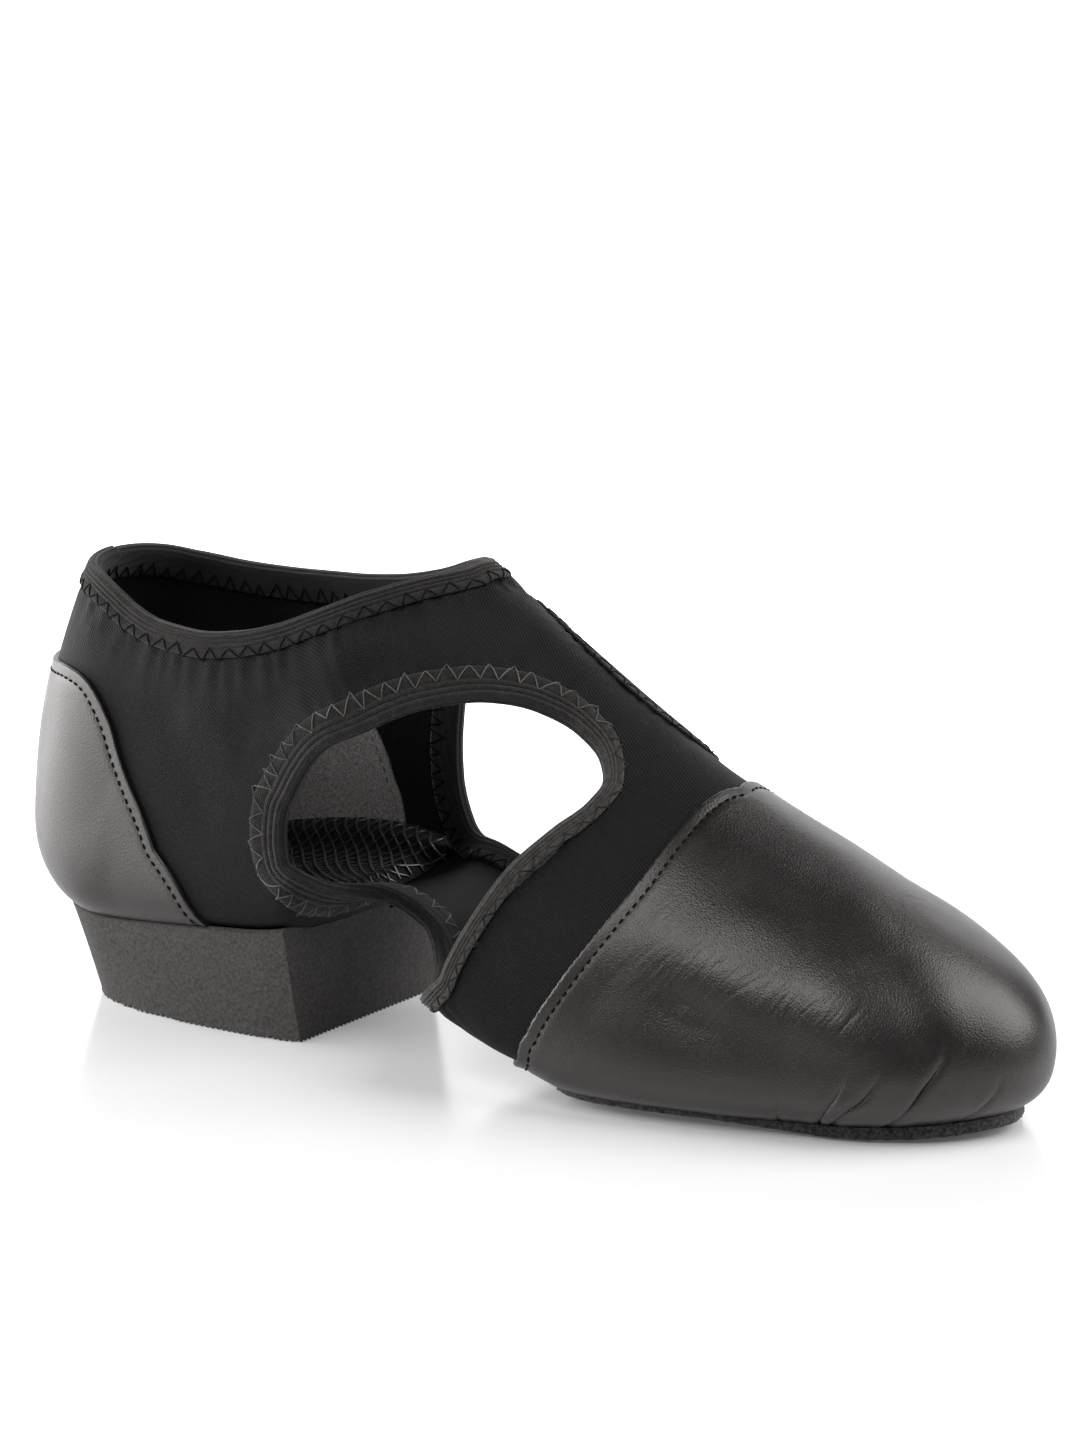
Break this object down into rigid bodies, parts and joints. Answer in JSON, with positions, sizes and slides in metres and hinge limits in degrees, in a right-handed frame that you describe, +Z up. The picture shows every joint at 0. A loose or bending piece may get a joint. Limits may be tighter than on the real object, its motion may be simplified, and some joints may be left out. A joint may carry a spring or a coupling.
{
  "type": "dance shoe",
  "caption": "Split-sole slip-on dance shoe for the right foot: stretch upper with arch cut-outs, leather toe cap and heel counter, suede forefoot patch and a low block heel.",
  "frame": {"origin": "middle of the bounding box at the floor", "axes": "+X along the shoe to the toe, +Y to the inner side of the foot, +Z up"},
  "size_m": [0.2473, 0.0818, 0.1041],
  "materials": {
    "stretch_fabric": "matt black stretch twill with a soft sheen",
    "leather": "smooth black nappa with broad soft highlights",
    "elastic_tape": "dark ribbed elastic tape, zig-zag stitched",
    "mesh_sock": "black open mesh over foam",
    "suede": "dark grey suede",
    "heel_rubber": "fine mottled dark grey foam rubber"
  },
  "bodies": {
    "root": {"upper": "stretch_fabric", "toe_cap": "leather", "heel_counter": "leather", "collar_binding": "elastic_tape", "cutout_binding_lateral": "elastic_tape", "cutout_binding_medial": "elastic_tape", "insole": "mesh_sock", "forefoot_sole": "suede", "heel": "heel_rubber"}
  },
  "joints": []
}
